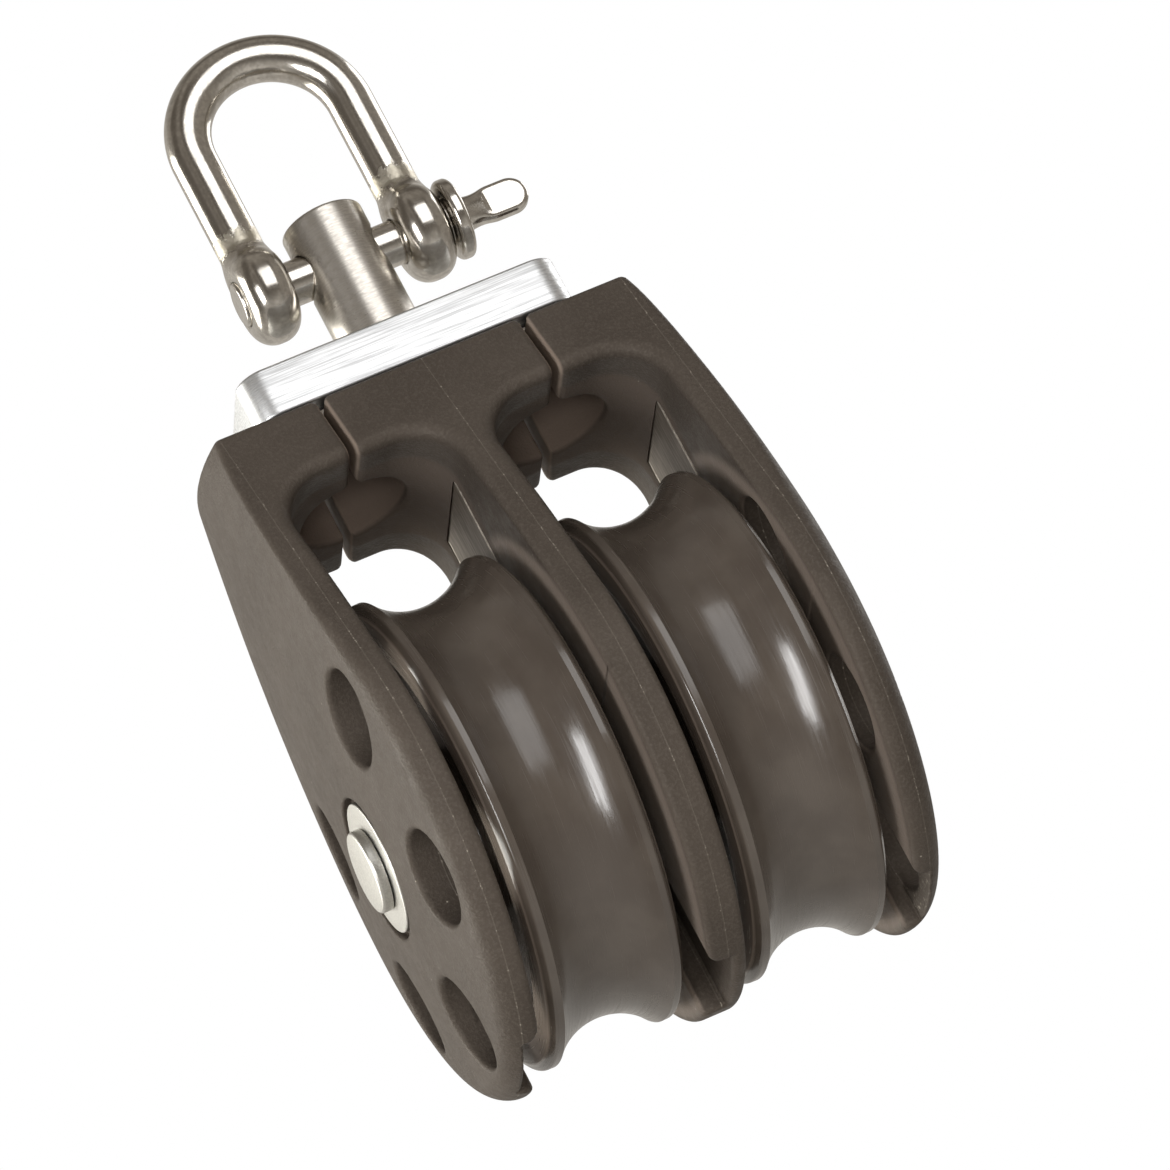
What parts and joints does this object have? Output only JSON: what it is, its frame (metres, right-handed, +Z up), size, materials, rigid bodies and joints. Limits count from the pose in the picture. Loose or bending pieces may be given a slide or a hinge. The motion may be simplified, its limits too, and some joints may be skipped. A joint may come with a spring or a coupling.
{
  "type": "double sheave block",
  "caption": "Boat block with side-by-side plain-bearing sheaves between moulded cheeks, a metal crosshead bar, a swivel post and a D-shackle with a screw pin.",
  "frame": {"origin": "inner crown of the shackle bow, the point the block hangs from", "axes": "+Z up from the axle to the bow; +X along the axle towards the shackle pin's tab; +Y through the bays, the way the line runs"},
  "size_m": [0.0662, 0.0648, 0.1426],
  "materials": {
    "moulding": "fine-grained satin moulding",
    "sheave": "smooth semi-gloss",
    "bearing": "natural acetal",
    "bar": "brushed along its length",
    "strap_steel": "satin stainless sheet",
    "post_steel": "turned stainless",
    "polished_steel": "polished stainless"
  },
  "bodies": {
    "shackle": {"shackle_bow": "polished_steel"},
    "pin": {"shackle_pin": "polished_steel"},
    "post": {"swivel_post": "post_steel", "swivel_nut": "strap_steel"},
    "block": {"cheek_outer_left": "moulding", "cheek_outer_right": "moulding", "cheek_centre": "moulding", "load_strap_left": "strap_steel", "load_strap_right": "strap_steel", "strap_screw_left": "polished_steel", "strap_screw_right": "polished_steel", "sheave_sleeve_left": "bearing", "sheave_sleeve_right": "bearing", "thrust_washer_inner_left": "bearing", "thrust_washer_inner_right": "bearing", "thrust_washer_outer_left": "bearing", "thrust_washer_outer_right": "bearing", "axle_washer_left": "strap_steel", "axle_washer_right": "strap_steel", "axle_pin": "polished_steel", "axle_cap": "polished_steel", "crosshead_bar": "bar", "swivel_washer": "bearing"},
    "left_sheave": {"sheave_left": "sheave"},
    "right_sheave": {"sheave_right": "sheave"}
  },
  "joints": [
    {"name": "pin_withdraw", "type": "slide", "parent": "shackle", "child": "pin", "axis": [1, 0, 0], "range_m": [0, 0.03]},
    {"name": "shackle_swing", "type": "hinge", "parent": "shackle", "child": "post", "pos_m": [0, 0, -0.02805], "axis": [1, 0, 0], "range_deg": [-110, 110]},
    {"name": "swivel", "type": "hinge", "parent": "post", "child": "block", "pos_m": [0, 0, -0.04225], "axis": [0, 0, 1], "continuous": true},
    {"name": "left_sheave_spin", "type": "hinge", "parent": "block", "child": "left_sheave", "pos_m": [-0.01375, 0, -0.10425], "axis": [1, 0, 0], "continuous": true},
    {"name": "right_sheave_spin", "type": "hinge", "parent": "block", "child": "right_sheave", "pos_m": [0.01375, 0, -0.10425], "axis": [1, 0, 0], "continuous": true}
  ]
}
